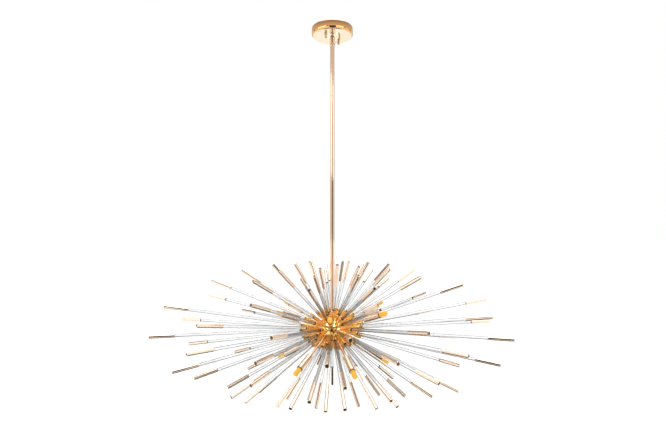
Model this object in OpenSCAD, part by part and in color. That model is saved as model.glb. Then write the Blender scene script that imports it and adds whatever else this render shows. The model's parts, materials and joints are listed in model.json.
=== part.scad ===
// Oval burst chandelier: a small drilled hub hangs on a jointed stem and carries straight
// glass rods with metal end sleeves in all directions, with twelve small lamps among them.
// Millimetres, +Z up. The origin is the centre of the ceiling plane, above the canopy.
// +X runs along the long axis of the burst.

/* [Canopy] */
// Outer diameter of the round ceiling canopy
canopy_d = 120; // [100:1:160]
// Depth of the canopy below the ceiling
canopy_depth = 24; // [24:1:30]
// Thickness of the canopy's sheet
canopy_wall = 1.2; // [0.8:0.1:1.6]
// Radius of the rounded lower edge of the canopy
canopy_edge_r = 6; // [3:0.5:8]
// Distance of the two canopy screws from the centre
canopy_screw_r = 30; // [26:1:34]
// Direction of the two canopy screws, from +X
canopy_screw_az = 52; // [40:1:60]
// Hole circle of the outlet box screws
box_screw_pcd = 70; // [60:1:84]
// Radius of the outlet box screw holes
box_screw_r = 2.4; // [2:0.1:2.8]

/* [Stem] */
// Outer diameter of the stem tubes
stem_d = 13; // [12.5:0.5:14]
// Bore of the stem tubes
stem_bore = 10; // [9:0.5:10]
// Length of the short upper tube, with the end held in the collar
stem_upper_len = 160; // [120:5:400]
// Length of each long tube
stem_long_len = 300; // [200:5:600]
// Largest diameter of the collar below the canopy
collar_d = 16.5; // [15:0.5:18]
// Radius of the ball that lets the stem hang straight
ball_r = 6; // [5.5:0.1:6]

/* [Burst] */
// Half length of the oval that the rod tips reach, along X
burst_a = 515; // [400:5:600]
// Half depth of that oval, along Y
burst_b = 340; // [300:5:500]
// Half height of that oval, along Z
burst_c = 195; // [180:1:260]
// Distance from the ceiling to the centre of the burst
drop = 872; // [870:1:876]
// Radius of the hub at its widest
hub_r = 46; // [44:1:50]
// Half height of the hub
hub_h = 33; // [32:1:38]
// Diameter of the glass rods
rod_d = 8; // [6:0.5:8]
// Diameter of the end sleeves
sleeve_d = 10; // [9:0.5:11]
// Length of the end sleeves
sleeve_len = 66; // [40:1:80]
// Diameter of the ferrules that hold the rods
ferrule_d = 10.6; // [10:0.1:11]
// Length of a ferrule's cup
cup_len = 20; // [16:1:22]

/* [Lamps] */
// Diameter of a lamp holder
holder_d = 17.5; // [16.5:0.5:19]
// Length of a lamp holder
holder_len = 52; // [46:1:56]
// Distance from the hub's centre to the foot of a lamp holder
holder_start = 112; // [108:1:120]
// Diameter of a bulb
bulb_d = 13.6; // [13:0.1:14]
// How far a bulb shows past its holder
bulb_out = 24; // [20:1:45]

/* [Hidden] */
$fn = 48;
gap = 0.1;              // radial play of a piece that is glued or pressed in place
strap_t = 2.5;          // thickness of both steel straps
pin_r = 0.8;            // a bulb's pin
pin_spacing = 9;
pin_len = 7;
lead_d = 4;             // the mains lead's sheath
lamp_lead_d = 3;
wire_bore = 7;          // passage for the lead through the nipple and the swivel socket
lead_top = -0.6;
lead_split = -9.2;      // where the lead's ceiling half ends
ferrule_reach = [50, 42, 25];   // how far the ferrules stand out from the hub, along X, Y and Z
centre = [0, 0, -drop];

// Rod rows: [elevation, number of rods, azimuth of the first]
ROWS = [
    [71, 3, 42], [60, 6, 12],      // crown
    [46, 9, 14], [32, 9, 16],      // shoulder
    [20, 6, 52], [9, 12, 7],       // upper waist
    [0, 14, 11],                   // waist
    [-9, 10, 23], [-18, 10, 8],    // lower waist
    [-28, 12, 7], [-40, 9, 25],    // belly
    [-54, 7, 45], [-68, 3, 90]     // keel
];
CROWN = [0, 1];
SHOULDER = [2, 3];
UPPER_WAIST = [4, 5];
WAIST = [6];
LOWER_WAIST = [7, 8];
BELLY = [9, 10];
KEEL = [11, 12];

// Lamp rings: [elevation, azimuth of the first]; each ring has six lamps
LAMP_RINGS = [[20, 28], [-30, 52]];

cover_r = 6.4;          // plug of the hub's bottom cover
block_r = 12;           // terminal block in the hub
block_z0 = -8;
block_z1 = 5;

// Heights along the stem, downwards from the ceiling
pivot_z = -16;
canopy_z = -canopy_depth;
collar_top = canopy_z - 3;
collar_len = 26;
spigot_len = 8;
stem_top = collar_top - spigot_len - 2;
seam_1 = stem_top - stem_upper_len;
seam_2 = seam_1 - stem_long_len;
seam_3 = seam_2 - stem_long_len;

// ---------------------------------------------------------------- shared geometry

// Distance from the centre of an oval to its surface, in a direction
function oval_r(a, b, c, az, el) =
    1 / sqrt(pow(cos(el) * cos(az) / a, 2) + pow(cos(el) * sin(az) / b, 2) + pow(sin(el) / c, 2));
function tip_r(az, el) = oval_r(burst_a, burst_b, burst_c, az, el);
function ferrule_r(az, el) = oval_r(
    hub_r + ferrule_reach[0], hub_r + ferrule_reach[1], hub_h + ferrule_reach[2], az, el);
function hub_surface_r(el) = oval_r(hub_r, hub_r, hub_h, 0, el);

// Turns +Z to a direction from the centre of the burst
module aim(az, el) translate(centre) rotate([0, 90 - el, az]) children();

// A cylinder along Z from one height to another
module rod(z0, z1, d) translate([0, 0, min(z0, z1)]) cylinder(h = abs(z1 - z0), d = d);

// A tube along Z
module tube(z0, z1, d, bore) difference() {
    rod(z0, z1, d);
    rod(min(z0, z1) - 1, max(z0, z1) + 1, bore);
}

// Calls its children once for each rod of the rows listed, with $az and $el set
module each_rod(rows) {
    for (r = rows, i = [0 : ROWS[r][1] - 1]) {
        $el = ROWS[r][0];
        $az = ROWS[r][2] + 360 * i / ROWS[r][1];
        aim($az, $el) children();
    }
}

// Calls its children once for each lamp, with $az and $el set
module each_lamp() {
    for (ring = LAMP_RINGS, i = [0 : 5]) {
        $el = ring[0];
        $az = ring[1] + 60 * i;
        aim($az, $el) children();
    }
}

// ---------------------------------------------------------------- canopy

module canopy_pan() {
    r = canopy_d / 2;
    e = canopy_edge_r;
    ei = e - canopy_wall;
    hole_r = 6.2;
    color("peru") difference() {
        rotate_extrude($fn = 96) polygon(concat(
            [[hole_r, canopy_z]],
            [for (a = [-90 : 15 : 0]) [r - e + e * cos(a), canopy_z + e + e * sin(a)]],
            [[r, 0], [r - canopy_wall, 0]],
            [for (a = [0 : -15 : -90]) [r - e + ei * cos(a), canopy_z + e + ei * sin(a)]],
            [[hole_r, canopy_z + canopy_wall]]
        ));
        canopy_screw_places() rod(canopy_z - 1, canopy_z + 3, 4.6);
    }
}

module canopy_screw_places() {
    for (side = [0, 180]) rotate(canopy_screw_az + side) translate([canopy_screw_r, 0, 0]) children();
}

module outlet_box_strap() color("silver") difference() {
    translate([-50, -8, -strap_t]) cube([100, 16, strap_t]);
    for (x = [-1, 1]) translate([x * box_screw_pcd / 2, 0, 0]) rod(-strap_t - 1, 1, 2 * box_screw_r);
    rod(-strap_t - 1, 1, 10 + 2 * gap);
}

module canopy_strap() color("silver") difference() {
    rotate(canopy_screw_az) translate([-38, -7, -2 * strap_t]) cube([76, 14, strap_t]);
    canopy_screw_places() rod(-2 * strap_t - 1, -strap_t + 1, 4 + 2 * gap);
    rod(-2 * strap_t - 1, -strap_t + 1, 10 + 2 * gap);
    rotate(canopy_screw_az) translate([16, 0, 0]) rod(-2 * strap_t - 1, -strap_t + 1, 3.2);
}

module canopy_studs() color("silver") canopy_screw_places() {
    rod(-strap_t - 0.1, canopy_z - 8, 4);
}

// Slim thumb nuts that hold the canopy up
module cap_nuts() color("peru") canopy_screw_places() translate([0, 0, canopy_z])
    rotate_extrude($fn = 36) polygon([
        [2 + gap, -0.1], [4.6, -0.1], [4.6, -1.6], [3.9, -2.2], [3.9, -7.5],
        [3.2, -9], [2.6, -13], [1.6, -14], [0, -14], [0, -8.6], [2 + gap, -8.6]
    ]);

module ground_screw() color("yellowgreen") rotate(canopy_screw_az) translate([16, 0, 0]) {
    rod(-strap_t - 0.1, -2 * strap_t - 0.2, 3);
    translate([0, 0, -2 * strap_t - 2.4]) cylinder(h = 2.2, d = 6, $fn = 6);
}

// ---------------------------------------------------------------- swivel

module nipple() color("silver") tube(-0.4, -8.7, 10, wire_bore);

module lock_washer() color("silver") tube(-2 * strap_t, -2 * strap_t - 0.8, 16, 10 + 2 * gap);

liner_r = ball_r + 1.05;      // outer radius of the nylon liner
socket_r = liner_r + 0.1;     // the hollow that the liner turns in

module swivel_socket() color("silver") difference() {
    rod(-2 * strap_t - 0.8, pivot_z, 19);
    rod(0, -9, 10 + 2 * gap);
    rod(-8, pivot_z, wire_bore);
    translate([0, 0, pivot_z]) sphere(r = socket_r, $fn = 64);
}

module swivel_cap() color("silver") difference() {
    rod(pivot_z, pivot_z - 5.6, 19);
    translate([0, 0, pivot_z]) sphere(r = socket_r, $fn = 64);
    translate([0, 0, pivot_z - 5.7]) cylinder(h = 0.9, r1 = 5.9, r2 = 5);
}

// Nylon band between the ball and its socket
module ball_liner() color("ivory") translate([0, 0, pivot_z]) difference() {
    sphere(r = liner_r, $fn = 64);
    sphere(r = ball_r + 0.05, $fn = 64);
    for (side = [-1, 1]) translate([0, 0, side * 8.2]) cube([20, 20, 10], center = true);
}

module swivel_ball() color("silver") difference() {
    union() {
        translate([0, 0, pivot_z]) sphere(r = ball_r, $fn = 64);
        rod(pivot_z - 4, collar_top, 7);
        rod(collar_top, collar_top - spigot_len, 10);
    }
    rod(0, collar_top - spigot_len - 1, 4.4);
}

module stem_collar() {
    r = collar_d / 2;
    rs = stem_d / 2;
    color("peru") difference() {
        translate([0, 0, collar_top]) rotate_extrude($fn = 64) polygon([
            [3.7, 0], [r - 0.8, 0], [r, -0.8], [r, -15.2], [r - 0.8, -16],
            [r - 0.8, -20], [r - 0.2, -21], [r - 0.2, -23], [rs + 0.4, -collar_len],
            [3.7, -collar_len]
        ]);
        rod(collar_top + 0.01, collar_top - spigot_len - 1, 10 + 2 * gap);
        rod(collar_top - spigot_len - 1, collar_top - collar_len - 1, stem_d + 2 * gap);
        collar_screw_places() cylinder(h = 9, d = 3 + 2 * gap);
    }
}

// Two grub screws, one above the other, on the front of the collar
module collar_screw_places() {
    for (z = [-4.5, -12]) translate([0, 0, collar_top + z]) rotate([90, 0, 0]) children();
}

module collar_screws() color("dimgray") {
    for (s = [[-4.5, 5 + gap], [-12, stem_d / 2 + gap]])
        translate([0, 0, collar_top + s[0]]) rotate([90, 0, 0]) difference() {
            translate([0, 0, s[1]]) cylinder(h = collar_d / 2 - s[1] - 0.3, d = 3);
            translate([0, 0, collar_d / 2 - 1.1]) cylinder(h = 2, d = 1.6, $fn = 6);
        }
}

// ---------------------------------------------------------------- stem

// One stem tube, with a fine bevel at each end that shows as a seam
module stem_tube(z0, z1) {
    ro = stem_d / 2;
    ri = stem_bore / 2;
    bevel = 0.4;
    color("burlywood") rotate_extrude($fn = 64) polygon([
        [ri, z0], [ro - bevel, z0], [ro, z0 - bevel], [ro, z1 + bevel], [ro - bevel, z1], [ri, z1]
    ]);
}

module stem_upper() stem_tube(stem_top, seam_1);
module stem_middle() stem_tube(seam_1, seam_2);
module stem_lower() stem_tube(seam_2, seam_3);
module hub_stub() stem_tube(seam_3, -drop + hub_h - 6);

// Threaded nipples inside the seams
module stem_couplers() color("silver") {
    for (z = [seam_1, seam_2, seam_3]) tube(z + 15, z - 15, stem_bore - 2 * gap, 6);
}

// ---------------------------------------------------------------- hub

// Half outline of an oval of revolution
function oval_outline(r, h, step) = [for (a = [-90 : step : 90]) [r * cos(a), h * sin(a)]];

module hub_body() {
    wall = 5;
    color("goldenrod") difference() {
        translate(centre) rotate_extrude($fn = 96) polygon(oval_outline(hub_r, hub_h, 7.5));
        translate(centre) rotate_extrude($fn = 96) polygon(oval_outline(hub_r - wall, hub_h - wall, 15));
        translate(centre) rod(hub_h - 6, hub_h + 2, stem_d + 2 * gap);
        translate(centre) rod(0, hub_h, stem_bore);
        translate(centre) rod(-hub_h - 1, 0, 2 * cover_r + 2 * gap);
        each_rod([0 : len(ROWS) - 1])
            rod(hub_surface_r($el) - 9, hub_surface_r($el) + 3, 5 + 2 * gap);
        each_lamp() rod(hub_surface_r($el) - 9, hub_surface_r($el) + 3, 8 + 2 * gap);
    }
}

// Plug that closes the hub underneath
module hub_cover() color("peru") translate(centre) rotate_extrude($fn = 64) polygon([
    [2.5 + gap, -hub_h + 8], [cover_r, -hub_h + 8], [cover_r, -hub_h - 0.4],
    [cover_r + 1, -hub_h - 0.4], [cover_r + 1, -hub_h - 1.6], [cover_r, -hub_h - 2.4],
    [2.5 + gap, -hub_h - 2.4]
]);

module finial_nut() color("peru") translate(centre) rotate_extrude($fn = 48) polygon([
    [2.5 + gap, -hub_h - 2.4], [4.5, -hub_h - 2.4], [4.5, -hub_h - 4.4], [3.4, -hub_h - 5.4],
    [4, -hub_h - 7.4], [3.4, -hub_h - 9.4], [1.8, -hub_h - 10.8], [0, -hub_h - 11.4],
    [0, -hub_h - 8.1], [2.5 + gap, -hub_h - 8.1]
]);

// Stud through the cover, which also carries the terminal block
module finial_stud() color("silver") translate(centre) rod(-hub_h - 8, block_z0, 5);

// ---------------------------------------------------------------- wiring

// From the ceiling down the nipple, ending above the ball
module canopy_lead() color("white") rod(lead_top, lead_split, lead_d);

module wire_connectors() color("orange") {
    for (az = [120, 150, 180]) rotate(az) translate([40, 0, 0]) translate([0, 0, -19])
        cylinder(h = 14, d1 = 8, d2 = 5);
}

// From inside the ball, where it turns with the stem, down to the terminal block
module stem_lead() color("white") rod(pivot_z + 5.4, -drop + block_z1, lead_d);

// Round block in the hub where the lamp leads meet
module terminal_block() color("ivory") translate(centre) rod(block_z0, block_z1, 2 * block_r);

// Where a lamp's lead meets the round block, which it just clears
function lead_start(el) = (block_r + 0.05 + lamp_lead_d / 2 * sin(abs(el))) / cos(el);
module lamp_leads() color("white") each_lamp()
    rod(lead_start($el), holder_start + 4.2, lamp_lead_d);

// ---------------------------------------------------------------- lamps

module lamp_arms() color("peru") each_lamp()
    tube(hub_surface_r($el) - 4.5, holder_start + 4, 8, 6);

module lamp_holders() {
    r = holder_d / 2;
    bore_r = r - 1;
    z1 = holder_start + holder_len;
    color("peru") each_lamp() rotate_extrude($fn = 48) polygon([
        [4 + gap, holder_start], [r - 1, holder_start], [r, holder_start + 1], [r, z1 - 0.3],
        [r - 0.3, z1], [bore_r, z1], [bore_r, holder_start + 4], [4 + gap, holder_start + 4]
    ]);
}

module lamp_sockets() color("white") each_lamp() difference() {
    rod(holder_start + 4.2, holder_start + 24, holder_d - 2 - 2 * gap);
    for (x = [-1, 1]) translate([x * pin_spacing / 2, 0, 0])
        rod(holder_start + 15, holder_start + 25, 2 * pin_r + 0.6);
}

// A capsule bulb with two pins, standing along its lamp's axis
module bulb(n) {
    ring = LAMP_RINGS[n > 6 ? 1 : 0];
    z0 = holder_start + 24.4;
    z1 = holder_start + holder_len + bulb_out;
    r = bulb_d / 2;
    color("gold") aim(ring[1] + 60 * ((n - 1) % 6), ring[0]) {
        rotate_extrude($fn = 36) polygon(concat(
            [[0, z0], [r - 1, z0], [r, z0 + 1]],
            [for (a = [0 : 15 : 90]) [r * cos(a), z1 - r + r * sin(a)]]
        ));
        for (x = [-1, 1]) translate([x * pin_spacing / 2, 0, 0]) rod(z0 - pin_len, z0 + 1, 2 * pin_r);
    }
}

// ---------------------------------------------------------------- rods

// Threaded peg in the hub with a cup for the glass
module ferrules(rows) color("goldenrod") each_rod(rows) {
    end = ferrule_r($az, $el);
    start = hub_surface_r($el) - 4.4;
    difference() {
        union() {
            rod(start, end - cup_len + 1, 5);
            translate([0, 0, end - cup_len]) cylinder(h = 1.5, d1 = 7, d2 = ferrule_d);
            rod(end - cup_len + 1.5, end, ferrule_d);
        }
        rod(end - 12, end + 1, rod_d + 2 * gap);
    }
}

module glass_rods(rows) color("aliceblue") each_rod(rows)
    rod(ferrule_r($az, $el) - 11.9, tip_r($az, $el) - 12, rod_d);

// Metal sleeve over the outer end of a rod, closed by a flat end
module sleeves(rows) color("burlywood") each_rod(rows) {
    tip = tip_r($az, $el);
    difference() {
        union() {
            rod(tip - sleeve_len, tip - 0.6, sleeve_d);
            translate([0, 0, tip - 0.6]) cylinder(h = 0.6, d1 = sleeve_d, d2 = sleeve_d - 1.2);
        }
        rod(tip - sleeve_len - 1, tip - 11.9, rod_d + 2 * gap);
    }
}

module ferrules_crown() ferrules(CROWN);
module ferrules_shoulder() ferrules(SHOULDER);
module ferrules_upper_waist() ferrules(UPPER_WAIST);
module ferrules_waist() ferrules(WAIST);
module ferrules_lower_waist() ferrules(LOWER_WAIST);
module ferrules_belly() ferrules(BELLY);
module ferrules_keel() ferrules(KEEL);
module rods_crown() glass_rods(CROWN);
module rods_shoulder() glass_rods(SHOULDER);
module rods_upper_waist() glass_rods(UPPER_WAIST);
module rods_waist() glass_rods(WAIST);
module rods_lower_waist() glass_rods(LOWER_WAIST);
module rods_belly() glass_rods(BELLY);
module rods_keel() glass_rods(KEEL);
module sleeves_upper() sleeves(concat(CROWN, SHOULDER));
module sleeves_waist() sleeves(concat(UPPER_WAIST, WAIST, LOWER_WAIST));
module sleeves_lower() sleeves(concat(BELLY, KEEL));

// ---------------------------------------------------------------- assembly

canopy_pan();
outlet_box_strap();
canopy_strap();
canopy_studs();
cap_nuts();
ground_screw();
nipple();
lock_washer();
swivel_socket();
swivel_cap();
ball_liner();
swivel_ball();
stem_collar();
collar_screws();
stem_upper();
stem_middle();
stem_lower();
hub_stub();
stem_couplers();
hub_body();
hub_cover();
finial_nut();
finial_stud();
canopy_lead();
wire_connectors();
stem_lead();
terminal_block();
lamp_leads();
lamp_arms();
lamp_holders();
lamp_sockets();
ferrules_crown();
ferrules_shoulder();
ferrules_upper_waist();
ferrules_waist();
ferrules_lower_waist();
ferrules_belly();
ferrules_keel();
rods_crown();
rods_shoulder();
rods_upper_waist();
rods_waist();
rods_lower_waist();
rods_belly();
rods_keel();
sleeves_upper();
sleeves_waist();
sleeves_lower();
bulb(1);  // bulb_1
bulb(2);  // bulb_2
bulb(3);  // bulb_3
bulb(4);  // bulb_4
bulb(5);  // bulb_5
bulb(6);  // bulb_6
bulb(7);  // bulb_7
bulb(8);  // bulb_8
bulb(9);  // bulb_9
bulb(10);  // bulb_10
bulb(11);  // bulb_11
bulb(12);  // bulb_12
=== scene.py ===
"""Looks of an oval burst chandelier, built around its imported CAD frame."""
import json
import math

import bpy
from bpy.props import FloatProperty, FloatVectorProperty, IntProperty, PointerProperty
from mathutils import Matrix, Vector

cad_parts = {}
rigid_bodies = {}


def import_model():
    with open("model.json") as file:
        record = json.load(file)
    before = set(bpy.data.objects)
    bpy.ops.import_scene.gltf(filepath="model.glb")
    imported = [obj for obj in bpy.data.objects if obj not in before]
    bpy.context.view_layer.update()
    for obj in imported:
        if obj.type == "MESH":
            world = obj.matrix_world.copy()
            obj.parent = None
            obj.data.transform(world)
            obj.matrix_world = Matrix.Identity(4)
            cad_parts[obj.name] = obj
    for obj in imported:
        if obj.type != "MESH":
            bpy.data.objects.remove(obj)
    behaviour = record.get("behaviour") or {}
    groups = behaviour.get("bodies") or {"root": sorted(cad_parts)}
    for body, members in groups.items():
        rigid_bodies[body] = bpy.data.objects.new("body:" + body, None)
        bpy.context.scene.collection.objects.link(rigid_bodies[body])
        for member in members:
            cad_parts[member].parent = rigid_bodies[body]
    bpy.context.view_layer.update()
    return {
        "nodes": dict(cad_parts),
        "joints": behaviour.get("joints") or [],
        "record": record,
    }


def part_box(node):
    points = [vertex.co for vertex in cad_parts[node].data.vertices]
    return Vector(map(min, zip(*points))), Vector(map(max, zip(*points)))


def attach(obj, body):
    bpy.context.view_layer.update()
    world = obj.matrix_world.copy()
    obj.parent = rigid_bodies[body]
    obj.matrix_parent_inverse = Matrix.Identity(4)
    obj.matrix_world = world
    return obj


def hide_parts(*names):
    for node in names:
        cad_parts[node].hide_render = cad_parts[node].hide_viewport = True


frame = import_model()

bl_info = {
    "name": "Oval burst chandelier",
    "version": (1, 0, 0),
    "blender": (4, 5, 0),
    "location": "View3D > Sidebar > Burst",
    "description": "Makes the visible pieces of an oval burst chandelier around its frame",
    "category": "Object",
}

MM = 0.001
OWN = "burst_"           # starts the name of each finish made here; the frame brings its own
NODES = frame["nodes"]
CENTRE = Vector((0.0, 0.0, (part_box("rods_waist")[0].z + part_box("rods_waist")[1].z) / 2))

# Rod rows: elevation, number of rods, azimuth of the first
ROWS = {
    "crown": [(71, 3, 42), (60, 6, 12)],
    "shoulder": [(46, 9, 14), (32, 9, 16)],
    "upper_waist": [(20, 6, 52), (9, 12, 7)],
    "waist": [(0, 14, 11)],
    "lower_waist": [(-9, 10, 23), (-18, 10, 8)],
    "belly": [(-28, 12, 7), (-40, 9, 25)],
    "keel": [(-54, 7, 45), (-68, 3, 90)],
}
SLEEVE_GROUPS = {
    "upper": ["crown", "shoulder"],
    "waist": ["upper_waist", "waist", "lower_waist"],
    "lower": ["belly", "keel"],
}
HUB_OVAL = (46.0, 46.0, 33.0)
FERRULE_OVAL = (96.0, 88.0, 58.0)
TIP_OVAL = (515.0, 340.0, 195.0)
PEG_DEPTH = 4.4          # how far a ferrule's peg reaches into the hub
GLASS_IN_CUP = 11.9
GLASS_SHORT_OF_TIP = 12.0
GLUE_GAP = 0.1           # play between a rod and the bore that it stands in

# Lamps, in millimetres; heights run along the lamp's axis from the burst's centre
HOLDER_RADIUS = 8.75
HOLDER_FOOT = 112.0
HOLDER_MOUTH = 164.0
BULB_RADIUS = 6.8
BULB_TIP = 188.0
ENVELOPE_FOOT = 149.0
BASE_FOOT = 136.4
BASE_TOP = ENVELOPE_FOOT + 3
BASE_SIZE = (12.6, 4.4)
PIN_FOOT = 129.4
PIN_TOP = 137.4
PIN_RADIUS = 0.8
PIN_OFFSET = 4.5

# Studio, in metres
FLOOR_HEIGHT = -2.4
CLOTH_HEIGHT = -2.38
CLOTH_RADIUS = 1.3
FLAG_PLACE, FLAG_SIZE = (0.1, -2.6, -0.95), (1.6, 2.9)
CARD_PLACE, CARD_SIZE, CARD_TILT = (0, 3.5, -1.45), (2.6, 1.3), 68
SUN_POWER, SUN_SPREAD = 2.75, 70
SIDE_LIGHT_SIZE = (1.9, 0.8)
SIDE_LIGHTS = [("key_light", (-1.9, -1.2, 0.2), 9), ("fill_light", (1.6, -1.9, 0.2), 8)]
CAMERA_PLACE, CAMERA_LENS = (0.002, -1.3, -0.5625), 24.16


# ------------------------------------------------------------------ settings

class BurstSizes(bpy.types.PropertyGroup):
    """Sizes of the pieces that are made here"""
    rod_diameter: FloatProperty(
        name="Rod diameter", description="Diameter of the glass rods",
        default=0.008, min=0.004, max=0.012, unit="LENGTH")
    sleeve_diameter: FloatProperty(
        name="Sleeve diameter", description="Diameter of the metal end sleeves",
        default=0.010, min=0.006, max=0.014, unit="LENGTH")
    sleeve_length: FloatProperty(
        name="Sleeve length", description="Length of the metal end sleeves",
        default=0.066, min=0.03, max=0.1, unit="LENGTH")
    ferrule_diameter: FloatProperty(
        name="Ferrule diameter", description="Diameter of the cups that hold the rods",
        default=0.0106, min=0.008, max=0.014, unit="LENGTH")
    rod_sides: IntProperty(
        name="Rod sides", description="Number of sides of each rod, sleeve and ferrule",
        default=16, min=8, max=32)


class BurstColours(bpy.types.PropertyGroup):
    """Colours of the finishes"""
    rose_gold: FloatVectorProperty(
        name="Rose gold", description="Polished plate of the stem and lamp holders",
        default=(0.88, 0.61, 0.42), subtype="COLOR", min=0, max=1)
    canopy_gold: FloatVectorProperty(
        name="Canopy gold", description="Plate of the canopy's wall",
        default=(0.88, 0.46, 0.19), subtype="COLOR", min=0, max=1)
    sleeve_gold: FloatVectorProperty(
        name="Sleeve gold", description="Plate of the end sleeves",
        default=(0.93, 0.74, 0.58), subtype="COLOR", min=0, max=1)
    # Partly a warmer plate of the hub and ferrules, partly painted warm light from the bulbs around
    # them
    hub_gold: FloatVectorProperty(
        name="Hub gold", description="Warmer plate of the hub and ferrules",
        default=(1.0, 0.66, 0.26), subtype="COLOR", min=0, max=1)
    glass: FloatVectorProperty(
        name="Glass", description="Tint of the clear rods",
        default=(0.95, 0.96, 0.965), subtype="COLOR", min=0, max=1)
    bulb: FloatVectorProperty(
        name="Bulb", description="Glow of the capsule bulbs",
        default=(1.0, 0.52, 0.06), subtype="COLOR", min=0, max=1)
    floor: FloatVectorProperty(
        name="Floor", description="Colour of the studio floor",
        default=(0.93, 0.93, 0.93), subtype="COLOR", min=0, max=1)


# ------------------------------------------------------------------ finishes

def new_finish(name):
    """An empty material with its shader, and Object coordinates to read patterns from."""
    finish = bpy.data.materials.new(OWN + name)
    finish.use_nodes = True
    tree = finish.node_tree
    return finish, tree, tree.nodes["Principled BSDF"], tree.nodes.new("ShaderNodeTexCoord")


def add_noise(tree, coordinates, scale, detail=3.0):
    noise = tree.nodes.new("ShaderNodeTexNoise")
    noise.inputs["Scale"].default_value = scale
    noise.inputs["Detail"].default_value = detail
    tree.links.new(coordinates.outputs["Object"], noise.inputs["Vector"])
    return noise


def vary_roughness(tree, shader, noise, low, high):
    spread = tree.nodes.new("ShaderNodeMapRange")
    spread.inputs["To Min"].default_value = low
    spread.inputs["To Max"].default_value = high
    tree.links.new(noise.outputs["Fac"], spread.inputs["Value"])
    tree.links.new(spread.outputs["Result"], shader.inputs["Roughness"])


def vary_colour(tree, shader, noise, dark, light):
    ramp = tree.nodes.new("ShaderNodeValToRGB")
    ramp.color_ramp.elements[0].position = 0.35
    ramp.color_ramp.elements[0].color = (*dark, 1)
    ramp.color_ramp.elements[1].position = 0.65
    ramp.color_ramp.elements[1].color = (*light, 1)
    tree.links.new(noise.outputs["Fac"], ramp.inputs["Fac"])
    tree.links.new(ramp.outputs["Color"], shader.inputs["Base Color"])


def add_bump(tree, shader, noise, strength, depth):
    bump = tree.nodes.new("ShaderNodeBump")
    bump.inputs["Strength"].default_value = strength
    bump.inputs["Distance"].default_value = depth
    tree.links.new(noise.outputs["Fac"], bump.inputs["Height"])
    tree.links.new(bump.outputs["Normal"], shader.inputs["Normal"])


def scaled(colour, factor):
    return tuple(min(1.0, c * factor) for c in colour)


def metal_finish(name, colour, low, high, grain=900.0, bump=0.04):
    """Polished metal; low and high are its least and greatest roughness."""
    finish, tree, shader, coordinates = new_finish(name)
    shader.inputs["Metallic"].default_value = 1.0
    vary_colour(tree, shader, add_noise(tree, coordinates, 60.0), scaled(colour, 0.95), colour)
    vary_roughness(tree, shader, add_noise(tree, coordinates, 240.0), low, high)
    add_bump(tree, shader, add_noise(tree, coordinates, grain), bump, 0.00004)
    return finish


def plain_finish(name, colour, low, high, grain=500.0, bump=0.08):
    finish, tree, shader, coordinates = new_finish(name)
    vary_colour(tree, shader, add_noise(tree, coordinates, 90.0), scaled(colour, 0.93), colour)
    vary_roughness(tree, shader, add_noise(tree, coordinates, 300.0), low, high)
    add_bump(tree, shader, add_noise(tree, coordinates, grain), bump, 0.00008)
    return finish


def glass_finish(name, colour):
    """Clear drawn glass, with faint waves, and painted shade that darkens its edges where they turn
    from the eye.
    """
    clear_until, darkest_at, painted_edge_shade = 0.2, 0.5, 0.16
    finish, tree, shader, coordinates = new_finish(name)
    rim = tree.nodes.new("ShaderNodeLayerWeight")
    rim.inputs["Blend"].default_value = 0.5
    # Painted shade: the base colour turns dark towards the edges by view angle, in place of the
    # dark surroundings the edges would refract
    painted_edge_ramp = tree.nodes.new("ShaderNodeValToRGB")
    painted_edge_ramp.color_ramp.elements[0].position = clear_until
    painted_edge_ramp.color_ramp.elements[0].color = (*colour, 1)
    painted_edge_ramp.color_ramp.elements[1].position = darkest_at
    painted_edge_ramp.color_ramp.elements[1].color = (*scaled(colour, painted_edge_shade), 1)
    tree.links.new(rim.outputs["Facing"], painted_edge_ramp.inputs["Fac"])
    tree.links.new(painted_edge_ramp.outputs["Color"], shader.inputs["Base Color"])
    shader.inputs["Transmission Weight"].default_value = 1.0
    shader.inputs["IOR"].default_value = 1.49
    vary_roughness(tree, shader, add_noise(tree, coordinates, 200.0), 0.0, 0.03)
    add_bump(tree, shader, add_noise(tree, coordinates, 70.0, 1.0), 0.02, 0.0003)
    return finish


def glow_finish(name, colour):
    """Frosted amber envelope that glows a little, so that its round shape still shows."""
    finish, tree, shader, coordinates = new_finish(name)
    noise = add_noise(tree, coordinates, 160.0)
    vary_colour(tree, shader, noise, scaled(colour, 0.5), scaled(colour, 0.6))
    vary_roughness(tree, shader, add_noise(tree, coordinates, 700.0), 0.25, 0.4)
    add_bump(tree, shader, add_noise(tree, coordinates, 1200.0), 0.1, 0.00005)
    shader.inputs["Specular IOR Level"].default_value = 0.3
    shader.inputs["Emission Color"].default_value = (*colour, 1)
    shader.inputs["Emission Strength"].default_value = 0.42
    return finish


def card_finish():
    """A lit white card of the studio."""
    finish, _, shader, _ = new_finish("card_paper")
    shader.inputs["Base Color"].default_value = (0, 0, 0, 1)
    shader.inputs["Emission Color"].default_value = (1, 1, 1, 1)
    shader.inputs["Emission Strength"].default_value = 1.0
    return finish


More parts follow.
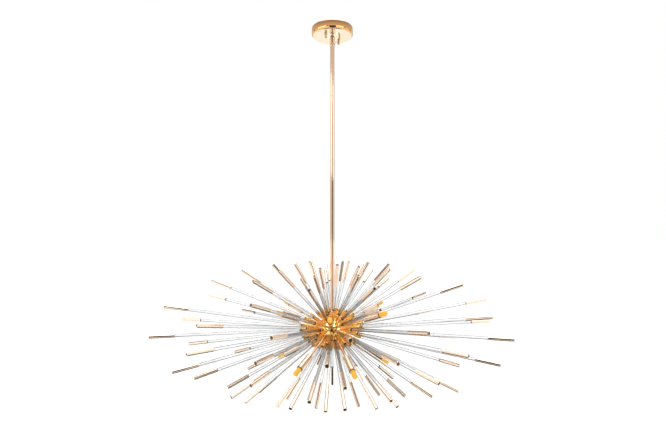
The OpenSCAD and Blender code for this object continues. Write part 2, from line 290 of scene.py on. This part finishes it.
def make_finishes():
    """Each finish has a name, a colour and the range of its roughness."""
    colours = bpy.context.scene.burst_colours
    metal_finish("rose_gold", tuple(colours.rose_gold), 0.05, 0.12)
    metal_finish("canopy_gold", tuple(colours.canopy_gold), 0.04, 0.09)
    # Paler copy of the canopy plate for its flat underside: a painted reflection of the bright
    # floor below
    metal_finish("canopy_face", (0.97, 0.84, 0.63), 0.06, 0.12)
    metal_finish("nut_brass", (0.58, 0.44, 0.27), 0.1, 0.22)
    metal_finish("sleeve_gold", tuple(colours.sleeve_gold), 0.08, 0.18)
    # Its deeper orange is partly the plate's own tone and partly painted warm light from the bulbs
    metal_finish("hub_gold", tuple(colours.hub_gold), 0.06, 0.14)
    # Near-black finish for grooves, mouths and sunk ends: painted shade where these recesses fall
    # dark
    metal_finish("end_bronze", (0.13, 0.085, 0.07), 0.25, 0.4)
    metal_finish("zinc_steel", (0.62, 0.62, 0.6), 0.25, 0.42, grain=500.0, bump=0.15)
    metal_finish("black_steel", (0.05, 0.045, 0.04), 0.3, 0.45)
    plain_finish("ground_green", (0.08, 0.3, 0.1), 0.3, 0.45)
    plain_finish("nylon", (0.82, 0.79, 0.7), 0.4, 0.55)
    plain_finish("lead_sheath", (0.85, 0.85, 0.82), 0.3, 0.42)
    plain_finish("connector_plastic", (0.75, 0.3, 0.05), 0.4, 0.55)
    plain_finish("porcelain", (0.88, 0.86, 0.8), 0.12, 0.22)
    glass_finish("clear_glass", tuple(colours.glass))
    glow_finish("warm_bulb", tuple(colours.bulb))


def finish_named(name):
    if OWN + name not in bpy.data.materials:
        make_finishes()
    return bpy.data.materials[OWN + name]


def check_finishes():
    """Every piece and every node of the frame wears a finish made here."""
    for thing in bpy.data.objects:
        for place in thing.material_slots:
            if not place.material or not place.material.name.startswith(OWN):
                raise RuntimeError(f"{thing.name} doesn't wear a finish of its own")


# ------------------------------------------------------------------ modelling

def clear_selection():
    if bpy.context.mode != "OBJECT":
        bpy.ops.object.mode_set(mode="OBJECT")
    bpy.ops.object.select_all(action="DESELECT")


def turned(name, outline, sides, sharp=35):
    """A closed solid turned about +Z, from (radius, height) points in millimetres."""
    clear_selection()
    bpy.ops.mesh.primitive_plane_add(size=MM, location=(0, 0, 0))
    piece = bpy.context.object
    piece.name = name
    piece.data.name = name
    bpy.ops.object.mode_set(mode="EDIT")
    bpy.ops.mesh.select_all(action="SELECT")
    bpy.ops.mesh.merge(type="CENTER")
    radius, height = outline[0]
    bpy.ops.transform.translate(value=(radius * MM, 0, height * MM))
    for a, b in zip(outline, outline[1:]):
        step = ((b[0] - a[0]) * MM, 0, (b[1] - a[1]) * MM)
        bpy.ops.mesh.extrude_region_move(TRANSFORM_OT_translate={"value": step})
    bpy.ops.mesh.select_all(action="SELECT")
    bpy.ops.mesh.spin(steps=sides, angle=2 * math.pi, center=(0, 0, 0), axis=(0, 0, 1))
    bpy.ops.mesh.select_all(action="SELECT")
    bpy.ops.mesh.remove_doubles(threshold=0.005 * MM)
    bpy.ops.mesh.normals_make_consistent(inside=False)
    bpy.ops.object.mode_set(mode="OBJECT")
    bpy.ops.object.shade_smooth_by_angle(angle=math.radians(sharp))
    return piece


def arc(radius, height, r, start, end, step):
    """Points of a quarter or so of a circle around (radius, height)."""
    count = max(1, round(abs(end - start) / step))
    angles = [math.radians(start + (end - start) * i / count) for i in range(count + 1)]
    return [(radius + r * math.cos(a), height + r * math.sin(a)) for a in angles]


def copied(piece, place):
    """A copy with its own mesh, at a place."""
    other = piece.copy()
    other.data = piece.data.copy()
    bpy.context.scene.collection.objects.link(other)
    other.data.transform(place)
    return other


def joined(name, pieces):
    clear_selection()
    for piece in pieces:
        piece.select_set(True)
    bpy.context.view_layer.objects.active = pieces[0]
    if len(pieces) > 1:
        bpy.ops.object.join()
    whole = bpy.context.view_layer.objects.active
    whole.name = name
    whole.data.name = name
    return whole


def discard(piece):
    bpy.data.objects.remove(piece, do_unlink=True)


def painted(piece, finish):
    piece.data.materials.clear()
    piece.data.materials.append(finish_named(finish))
    return piece


def lengthened(piece, above, extra):
    """Moves everything above a height further up, both in millimetres."""
    for vertex in piece.data.vertices:
        if vertex.co.z > above * MM:
            vertex.co.z += extra * MM


def settle(piece, body, nodes, slack=1.0):
    """Rides a piece on its body in place of its nodes, after checking that it fills their box."""
    boxes = [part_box(n) for n in nodes]
    points = [v.co for v in piece.data.vertices]
    for i in range(3):
        low, high = min(box[0][i] for box in boxes), max(box[1][i] for box in boxes)
        lowest, highest = min(p[i] for p in points), max(p[i] for p in points)
        if abs(lowest - low) > slack * MM or abs(highest - high) > slack * MM:
            raise RuntimeError(
                f"{piece.name} spans {lowest:.4f} to {highest:.4f} on axis {i}, "
                f"and its nodes {low:.4f} to {high:.4f}")
    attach(piece, body)
    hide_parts(*nodes)


def oval_distance(oval, azimuth, elevation):
    """Distance from an oval's centre to its surface, in millimetres."""
    az, el = math.radians(azimuth), math.radians(elevation)
    way = (math.cos(el) * math.cos(az), math.cos(el) * math.sin(az), math.sin(el))
    return 1 / math.sqrt(sum((w / half) ** 2 for w, half in zip(way, oval)))


def aimed(azimuth, elevation, out=0.0):
    """Turns +Z to a direction from the burst's centre, after a move along it in millimetres."""
    return (
        Matrix.Translation(CENTRE)
        @ Matrix.Rotation(math.radians(azimuth), 4, "Z")
        @ Matrix.Rotation(math.radians(90 - elevation), 4, "Y")
        @ Matrix.Translation((0, 0, out * MM))
    )


def rod_directions(group):
    for elevation, count, first in ROWS[group]:
        for i in range(count):
            yield first + 360 * i / count, elevation


def lamp_directions():
    """Azimuth and elevation of each bulb, from the way it pulls out."""
    ways = {j["child"]: Vector(j["axis"]) for j in frame["joints"] if j["type"] == "slide"}
    for body in sorted(ways, key=lambda b: int(b.split("_")[1])):
        way = ways[body]
        yield body, math.degrees(math.atan2(way.y, way.x)), math.degrees(math.asin(way.z))


def studio_world():
    """A white studio: pale walls with darker gaps between them, and a dimmer ceiling."""
    gap_count, gap_shade = 8.0, 0.3
    gap_start, gap_end = -0.9, -0.3          # of the cosine that lays out the gaps
    fade_start, fade_end = 0.15, 0.3         # height at which the gaps fade out
    floor_shade, top_place, top_shade = 0.9, 0.98, 0.5
    between = ((0.58, 0.95), (0.69, 0.72), (0.80, 0.3), (0.93, 0.16))    # place, shade
    world = bpy.data.worlds.new("studio")
    world.use_nodes = True
    tree = world.node_tree
    new, link = tree.nodes.new, tree.links.new

    def math_node(kind, *values):
        node = new("ShaderNodeMath")
        node.operation = kind
        for socket, value in zip(node.inputs, values):
            if isinstance(value, (int, float)):
                socket.default_value = value
            else:
                link(value, socket)
        return node.outputs[0]

    split = new("ShaderNodeSeparateXYZ")
    link(new("ShaderNodeTexCoord").outputs["Generated"], split.inputs[0])
    around = math_node("ARCTAN2", split.outputs["Y"], split.outputs["X"])
    walls = new("ShaderNodeMapRange")
    walls.inputs["From Min"].default_value = gap_start
    walls.inputs["From Max"].default_value = gap_end
    walls.inputs["To Min"].default_value = gap_shade
    link(math_node("COSINE", math_node("MULTIPLY", around, gap_count)), walls.inputs["Value"])
    height = new("ShaderNodeValToRGB")
    ramp = height.color_ramp
    ramp.elements[0].position, ramp.elements[0].color = 0.0, (*[floor_shade] * 3, 1)
    ramp.elements[1].position, ramp.elements[1].color = top_place, (*[top_shade] * 3, 1)
    for place, shade in between:
        ramp.elements.new(place).color = (shade, shade, shade, 1)
    link(math_node("MULTIPLY_ADD", split.outputs["Z"], 0.5, 0.5), height.inputs["Fac"])
    above = new("ShaderNodeMapRange")
    above.inputs["From Min"].default_value = fade_start
    above.inputs["From Max"].default_value = fade_end
    link(split.outputs["Z"], above.inputs["Value"])
    gaps = math_node("MAXIMUM", walls.outputs["Result"], above.outputs["Result"])
    lit = math_node("MULTIPLY", height.outputs["Color"], gaps)
    seen = new("ShaderNodeMix")
    link(new("ShaderNodeLightPath").outputs["Is Camera Ray"], seen.inputs["Factor"])
    link(lit, seen.inputs["A"])
    seen.inputs["B"].default_value = 1.0
    background = tree.nodes["Background"]
    link(seen.outputs[0], background.inputs["Strength"])
    background.inputs["Color"].default_value = (1, 1, 1, 1)
    return world


def mirrored_only(prop, name, finish):
    """Names a piece of the studio that shows in other surfaces and nowhere else."""
    prop.name = name
    prop.data.materials.append(finish)
    prop.visible_camera = False
    prop.visible_shadow = False
    prop.visible_diffuse = False
    return prop


# ------------------------------------------------------------------ operators

class BURST_OT_canopy(bpy.types.Operator):
    """Pressed canopy pan with a rounded edge, a faint bulge in its wall and a rolled rim"""
    bl_idname = "burst.canopy"
    bl_label = "Canopy"

    def execute(self, context):
        low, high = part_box("canopy_pan")
        radius, depth = high.x / MM, -low.z / MM
        edge, wall, hole, bulge = 6.0, 1.2, 6.2, 0.6
        edge_end, rim, widest, fall, steps = 15, 1.4, 0.375, 2.5, 10
        outline = [(hole, -depth + 0.2), (hole + 0.4, -depth)]
        outline += arc(radius - edge - bulge, -depth + edge, edge, -90, -edge_end, 5)
        lowest = -depth + edge * (1 - math.sin(math.radians(edge_end)))
        outline += [
            (radius - bulge * fall * (t - widest) ** 2, lowest + (-rim - lowest) * t)
            for t in (i / steps for i in range(1, steps + 1))
        ]
        top = radius - bulge
        outline += [(top - 0.1, -0.5), (top - 0.5, 0), (top - wall, 0)]
        outline += arc(radius - edge, -depth + edge, edge - wall, 0, -90, 10)
        outline += [(hole, -depth + wall), (hole, -depth + 0.2)]
        pan = painted(turned("canopy_shell", outline, 128), "canopy_gold")
        # The downward faces wear the paler copy, as a painted reflection of the bright floor below
        pan.data.materials.append(finish_named("canopy_face"))
        for face in pan.data.polygons:
            if face.normal.z < -0.9:
                face.material_index = 1
        settle(pan, "root", ["canopy_pan"])
        return {"FINISHED"}


class BURST_OT_cap_nuts(bpy.types.Operator):
    """Two slim nuts with a flange and a waist"""
    bl_idname = "burst.cap_nuts"
    bl_label = "Canopy nuts"

    def execute(self, context):
        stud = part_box("canopy_studs")
        stud_radius = 2 * MM
        across, along = stud[1].x - stud_radius, stud[1].y - stud_radius
        outline = [
            (0, -8.6), (2.1, -8.6), (2.1, -0.1), (4.4, -0.1), (4.6, -0.4), (4.6, -1.3), (4.3, -1.6),
            (3.9, -2.2), (3.9, -4.4), (3.6, -4.7), (3.9, -5.0), (3.9, -7.5), (3.2, -9), (2.6, -13),
            (2.2, -13.7), (1.6, -14), (0, -14),
        ]
        nut = turned("cap_nut", outline, 32)
        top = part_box("canopy_pan")[0].z
        places = [(across, along), (-across, -along)]
        made = [copied(nut, Matrix.Translation((x, y, top))) for x, y in places]
        pair = joined("canopy_nuts", made)
        discard(nut)
        settle(painted(pair, "nut_brass"), "root", ["cap_nuts"])
        return {"FINISHED"}


class BURST_OT_hub(bpy.types.Operator):
    """Polished oval hub shell"""
    bl_idname = "burst.hub"
    bl_label = "Hub"

    def execute(self, context):
        top_hole, low_hole, wall, steps = 6.6, 6.5, 5.0, 40

        def shell(r, h, flip):
            low = -math.degrees(math.acos(low_hole / r))
            high = math.degrees(math.acos(top_hole / r))
            angles = [math.radians(low + (high - low) * i / steps) for i in range(steps + 1)]
            points = [(r * math.cos(a), h * math.sin(a)) for a in angles]
            return points[::-1] if flip else points

        outline = shell(HUB_OVAL[0], HUB_OVAL[2], False)
        outline += shell(HUB_OVAL[0] - wall, HUB_OVAL[2] - wall, True)
        outline.append(outline[0])
        hub = turned("hub_shell", outline, 96)
        hub.data.transform(Matrix.Translation(CENTRE))
        settle(painted(hub, "hub_gold"), "pendant", ["hub_body"], slack=1.5)
        return {"FINISHED"}


class BURST_OT_ferrules(bpy.types.Operator):
    """Grooved cups on pegs, one for each rod"""
    bl_idname = "burst.ferrules"
    bl_label = "Ferrules"

    def execute(self, context):
        sizes = context.scene.burst_sizes
        r = sizes.ferrule_diameter / 2 / MM
        bore = sizes.rod_diameter / 2 / MM + GLUE_GAP
        outline = [
            (0, -40), (2.5, -40), (2.5, -20), (3.5, -20), (r, -18.5), (r, -4.6), (r - 0.8, -4.2),
            (r - 0.8, -2.8), (r, -2.4), (r, -0.6), (r - 0.4, 0), (bore, 0), (bore, -12), (0, -12),
        ]
        master = painted(turned("ferrule", outline, sizes.rod_sides), "hub_gold")
        # Painted shade: the groove and the mouth ring around the rod wear the near-black finish
        master.data.materials.append(finish_named("end_bronze"))
        for face in master.data.polygons:
            distance = math.hypot(face.center.x, face.center.y)
            in_groove = distance < (r - 0.6) * MM and -4.3 * MM < face.center.z < -2.7 * MM
            if in_groove or face.center.z > -0.1 * MM:
                face.material_index = 1
        for group in ROWS:
            made = []
            for azimuth, elevation in rod_directions(group):
                mouth = oval_distance(FERRULE_OVAL, azimuth, elevation)
                foot = oval_distance(HUB_OVAL, azimuth, elevation) - PEG_DEPTH
                one = copied(master, Matrix.Identity(4))
                for vertex in one.data.vertices:
                    if vertex.co.z < -30 * MM:
                        vertex.co.z = (foot - mouth) * MM
                one.data.transform(aimed(azimuth, elevation, mouth))
                made.append(one)
            whole = joined("cups_" + group, made)
            settle(whole, "pendant", ["ferrules_" + group])
        discard(master)
        return {"FINISHED"}


class BURST_OT_glass_rods(bpy.types.Operator):
    """Clear drawn rods with softened ends"""
    bl_idname = "burst.glass_rods"
    bl_label = "Glass rods"

    def execute(self, context):
        sizes = context.scene.burst_sizes
        r = sizes.rod_diameter / 2 / MM
        length, soft = 50, 0.5
        outline = [
            (0, 0), (r - soft, 0), (r, soft), (r, length - soft), (r - soft, length), (0, length),
        ]
        master = turned("rod", outline, sizes.rod_sides)
        for group in ROWS:
            made = []
            for azimuth, elevation in rod_directions(group):
                start = oval_distance(FERRULE_OVAL, azimuth, elevation) - GLASS_IN_CUP
                end = oval_distance(TIP_OVAL, azimuth, elevation) - GLASS_SHORT_OF_TIP
                one = copied(master, Matrix.Identity(4))
                lengthened(one, length / 2, end - start - length)
                one.data.transform(aimed(azimuth, elevation, start))
                made.append(one)
            whole = painted(joined("glass_" + group, made), "clear_glass")
            settle(whole, "pendant", ["rods_" + group])
        discard(master)
        return {"FINISHED"}


class BURST_OT_sleeves(bpy.types.Operator):
    """Metal end sleeves with a rim around a sunk flat end"""
    bl_idname = "burst.sleeves"
    bl_label = "End sleeves"

    def execute(self, context):
        sizes = context.scene.burst_sizes
        r = sizes.sleeve_diameter / 2 / MM
        length = sizes.sleeve_length / MM
        bore = sizes.rod_diameter / 2 / MM + GLUE_GAP
        outline = [
            (0, -11.9), (bore, -11.9), (bore, -length), (r - 0.3, -length), (r, -length + 0.3),
            (r, -0.6), (r - 0.6, 0), (r - 1.1, 0), (r - 1.3, -0.4), (0, -0.4),
        ]
        master = painted(turned("sleeve", outline, sizes.rod_sides), "sleeve_gold")
        # Painted shade: the sunk flat end wears the near-black finish
        master.data.materials.append(finish_named("end_bronze"))
        for face in master.data.polygons:
            if face.normal.z > 0.9 and face.center.length < (r - 1) * MM:
                face.material_index = 1
        for name, groups in SLEEVE_GROUPS.items():
            made = [
                copied(master, aimed(az, el, oval_distance(TIP_OVAL, az, el)))
                for group in groups for az, el in rod_directions(group)
            ]
            whole = joined("caps_" + name, made)
            settle(whole, "pendant", ["sleeves_" + name])
        discard(master)
        return {"FINISHED"}


class BURST_OT_lamp_holders(bpy.types.Operator):
    """Tubular lamp holders with a grooved foot and a rolled mouth"""
    bl_idname = "burst.lamp_holders"
    bl_label = "Lamp holders"

    def execute(self, context):
        r, start, end = HOLDER_RADIUS, HOLDER_FOOT, HOLDER_MOUTH
        outline = [
            (4.1, start), (r - 1, start), (r, start + 1), (r, start + 5), (r - 0.4, start + 5.4),
            (r - 0.4, start + 6.6), (r, start + 7), (r, end - 4), (r - 0.4, end - 3.6),
            (r - 0.4, end - 2.8), (r, end - 2.4), (r, end - 0.4), (r - 0.4, end), (r - 1, end),
            (r - 1, start + 4), (4.1, start + 4), (4.1, start),
        ]
        master = turned("holder", outline, 40)
        # Painted shade: the top of the rolled mouth wears the near-black finish
        painted(master, "rose_gold").data.materials.append(finish_named("end_bronze"))
        for face in master.data.polygons:
            if face.center.z > (end - 2.2) * MM:
                face.material_index = 1
        made = [copied(master, aimed(az, el)) for _, az, el in lamp_directions()]
        discard(master)
        whole = joined("holder_tubes", made)
        settle(whole, "pendant", ["lamp_holders"])
        return {"FINISHED"}


class BURST_OT_bulbs(bpy.types.Operator):
    """Capsule bulbs: a glowing envelope on a pinched base with two pins"""
    bl_idname = "burst.bulbs"
    bl_label = "Bulbs"

    def execute(self, context):
        r, foot, tip = BULB_RADIUS, ENVELOPE_FOOT, BULB_TIP
        outline = [(0, foot), (3.2, foot), (5.6, foot + 1), (r - 0.2, foot + 3), (r, foot + 5)]
        outline += arc(0, tip - 0.9 - r, r, 0, 76, 9)
        outline += [(1.1, tip - 0.5), (0.6, tip - 0.1), (0, tip)]
        envelope = painted(turned("envelope", outline, 32, 50), "warm_bulb")

        clear_selection()
        middle = (BASE_FOOT + BASE_TOP) / 2 * MM
        bpy.ops.mesh.primitive_cube_add(size=1, location=(0, 0, middle))
        base = bpy.context.object
        base.scale = (BASE_SIZE[0] * MM, BASE_SIZE[1] * MM, (BASE_TOP - BASE_FOOT) * MM)
        bpy.ops.object.transform_apply(location=True, rotation=True, scale=True)
        bpy.ops.object.mode_set(mode="EDIT")
        bpy.ops.mesh.select_all(action="SELECT")
        bpy.ops.mesh.bevel(offset=0.9 * MM, segments=3, affect="EDGES")
        bpy.ops.object.mode_set(mode="OBJECT")
        bpy.ops.object.shade_smooth_by_angle(angle=math.radians(35))
        painted(base, "porcelain")

        pin_outline = [
            (0, PIN_FOOT), (PIN_RADIUS - 0.3, PIN_FOOT), (PIN_RADIUS, PIN_FOOT + 0.4),
            (PIN_RADIUS, PIN_TOP), (0, PIN_TOP),
        ]
        pin = painted(turned("pin", pin_outline, 12), "zinc_steel")
        parts = [envelope, base]
        for x in (-PIN_OFFSET, PIN_OFFSET):
            parts.append(copied(pin, Matrix.Translation((x * MM, 0, 0))))
        discard(pin)
        master = joined("bulb", parts)
        for body, azimuth, elevation in lamp_directions():
            one = copied(master, aimed(azimuth, elevation))
            one.name = "capsule_" + body
            one.data.name = one.name
            # The pinched base is slimmer than the foot of the bulb's solid
            settle(one, body, [body], slack=3)
        discard(master)
        return {"FINISHED"}


class BURST_OT_frame_finishes(bpy.types.Operator):
    """Finishes for the frame's own pieces that show as they are"""
    bl_idname = "burst.frame_finishes"
    bl_label = "Frame finishes"

    def execute(self, context):
        by_slot = {"gold_hub": "hub_gold"}
        for entry in frame["record"]["subparts"]:
            node = NODES[entry["node"]]
            finish = by_slot.get(entry["material_slot"], entry["material_slot"])
            if not node.material_slots:
                raise RuntimeError(f"{node.name} has no material slot")
            for place in node.material_slots:
                place.material = finish_named(finish)
        return {"FINISHED"}


class BURST_OT_stage(bpy.types.Operator):
    """Pale floor, soft lights, the camera, and a flag, a cloth and a card to be reflected"""
    bl_idname = "burst.stage"
    bl_label = "Stage"

    def execute(self, context):
        scene = context.scene
        scene.view_settings.view_transform = "Standard"
        scene.world = studio_world()

        clear_selection()
        bpy.ops.mesh.primitive_plane_add(size=80, location=(0, 0, FLOOR_HEIGHT))
        floor = context.object
        floor.name = "floor"
        floor.data.materials.append(
            plain_finish("floor_paint", tuple(scene.burst_colours.floor), 0.7, 0.8, 40.0, 0.02))

        # A tall dark flag behind the camera, which polished metal reflects as a dark line
        bpy.ops.mesh.primitive_plane_add(
            size=1, location=FLAG_PLACE, rotation=(math.radians(90), 0, 0))
        black = plain_finish("flag_cloth", (0.01, 0.008, 0.006), 0.9, 1.0)
        flag = mirrored_only(context.object, "dark_flag", black)
        flag.scale = (*FLAG_SIZE, 1)

        bpy.ops.object.light_add(type="SUN", location=(0, 0, 2))
        overhead = context.object
        overhead.name = "overhead_light"
        overhead.data.energy = SUN_POWER
        overhead.data.angle = math.radians(SUN_SPREAD)

        # A dark cloth on the floor below, which gives glass and metal their dark undersides
        bpy.ops.mesh.primitive_circle_add(
            vertices=64, radius=CLOTH_RADIUS, fill_type="NGON", location=(0, 0, CLOTH_HEIGHT))
        brown = plain_finish("floor_cloth", (0.02, 0.015, 0.012), 0.9, 1.0)
        cloth = mirrored_only(context.object, "dark_cloth", brown)

        # A bright card behind, low down, mostly for the canopy's polished underside to mirror
        bpy.ops.mesh.primitive_plane_add(
            size=1, location=CARD_PLACE, rotation=(math.radians(CARD_TILT), 0, 0))
        card = mirrored_only(context.object, "bounce_card", card_finish())
        card.scale = (*CARD_SIZE, 1)
        card.visible_transmission = False

        for name, place, power in SIDE_LIGHTS:
            bpy.ops.object.light_add(type="AREA", location=place)
            light = context.object
            light.name = name
            light.data.shape = "RECTANGLE"
            light.data.size, light.data.size_y = SIDE_LIGHT_SIZE
            light.data.energy = power
            towards = CENTRE - light.location
            light.rotation_euler = towards.to_track_quat("-Z", "Y").to_euler()

        bpy.ops.object.camera_add(location=CAMERA_PLACE, rotation=(math.radians(90), 0, 0))
        camera = context.object
        camera.name = "camera"
        camera.data.sensor_width = 36
        camera.data.lens = CAMERA_LENS
        camera.data.clip_start = 0.01
        camera.data.clip_end = 200
        camera.data.dof.use_dof = False
        scene.camera = camera
        return {"FINISHED"}


class BURST_PT_panel(bpy.types.Panel):
    """Lists the pieces and their settings"""
    bl_idname = "BURST_PT_panel"
    bl_label = "Oval burst chandelier"
    bl_space_type = "VIEW_3D"
    bl_region_type = "UI"
    bl_category = "Burst"

    def draw(self, context):
        layout = self.layout
        for settings in (context.scene.burst_sizes, context.scene.burst_colours):
            for name in settings.__annotations__:
                layout.prop(settings, name)
        for operator in OPERATORS:
            layout.operator(operator.bl_idname)


OPERATORS = (
    BURST_OT_frame_finishes,
    BURST_OT_canopy,
    BURST_OT_cap_nuts,
    BURST_OT_hub,
    BURST_OT_ferrules,
    BURST_OT_glass_rods,
    BURST_OT_sleeves,
    BURST_OT_lamp_holders,
    BURST_OT_bulbs,
    BURST_OT_stage,
)
CLASSES = (BurstSizes, BurstColours, *OPERATORS, BURST_PT_panel)


def register():
    for cls in CLASSES:
        bpy.utils.register_class(cls)
    bpy.types.Scene.burst_sizes = PointerProperty(type=BurstSizes)
    bpy.types.Scene.burst_colours = PointerProperty(type=BurstColours)


def unregister():
    del bpy.types.Scene.burst_colours
    del bpy.types.Scene.burst_sizes
    for cls in reversed(CLASSES):
        bpy.utils.unregister_class(cls)


def main():
    register()
    bpy.ops.burst.frame_finishes()
    bpy.ops.burst.canopy()
    bpy.ops.burst.cap_nuts()
    bpy.ops.burst.hub()
    bpy.ops.burst.ferrules()
    bpy.ops.burst.glass_rods()
    bpy.ops.burst.sleeves()
    bpy.ops.burst.lamp_holders()
    bpy.ops.burst.bulbs()
    bpy.ops.burst.stage()
    check_finishes()


if __name__ == "__main__":
    main()
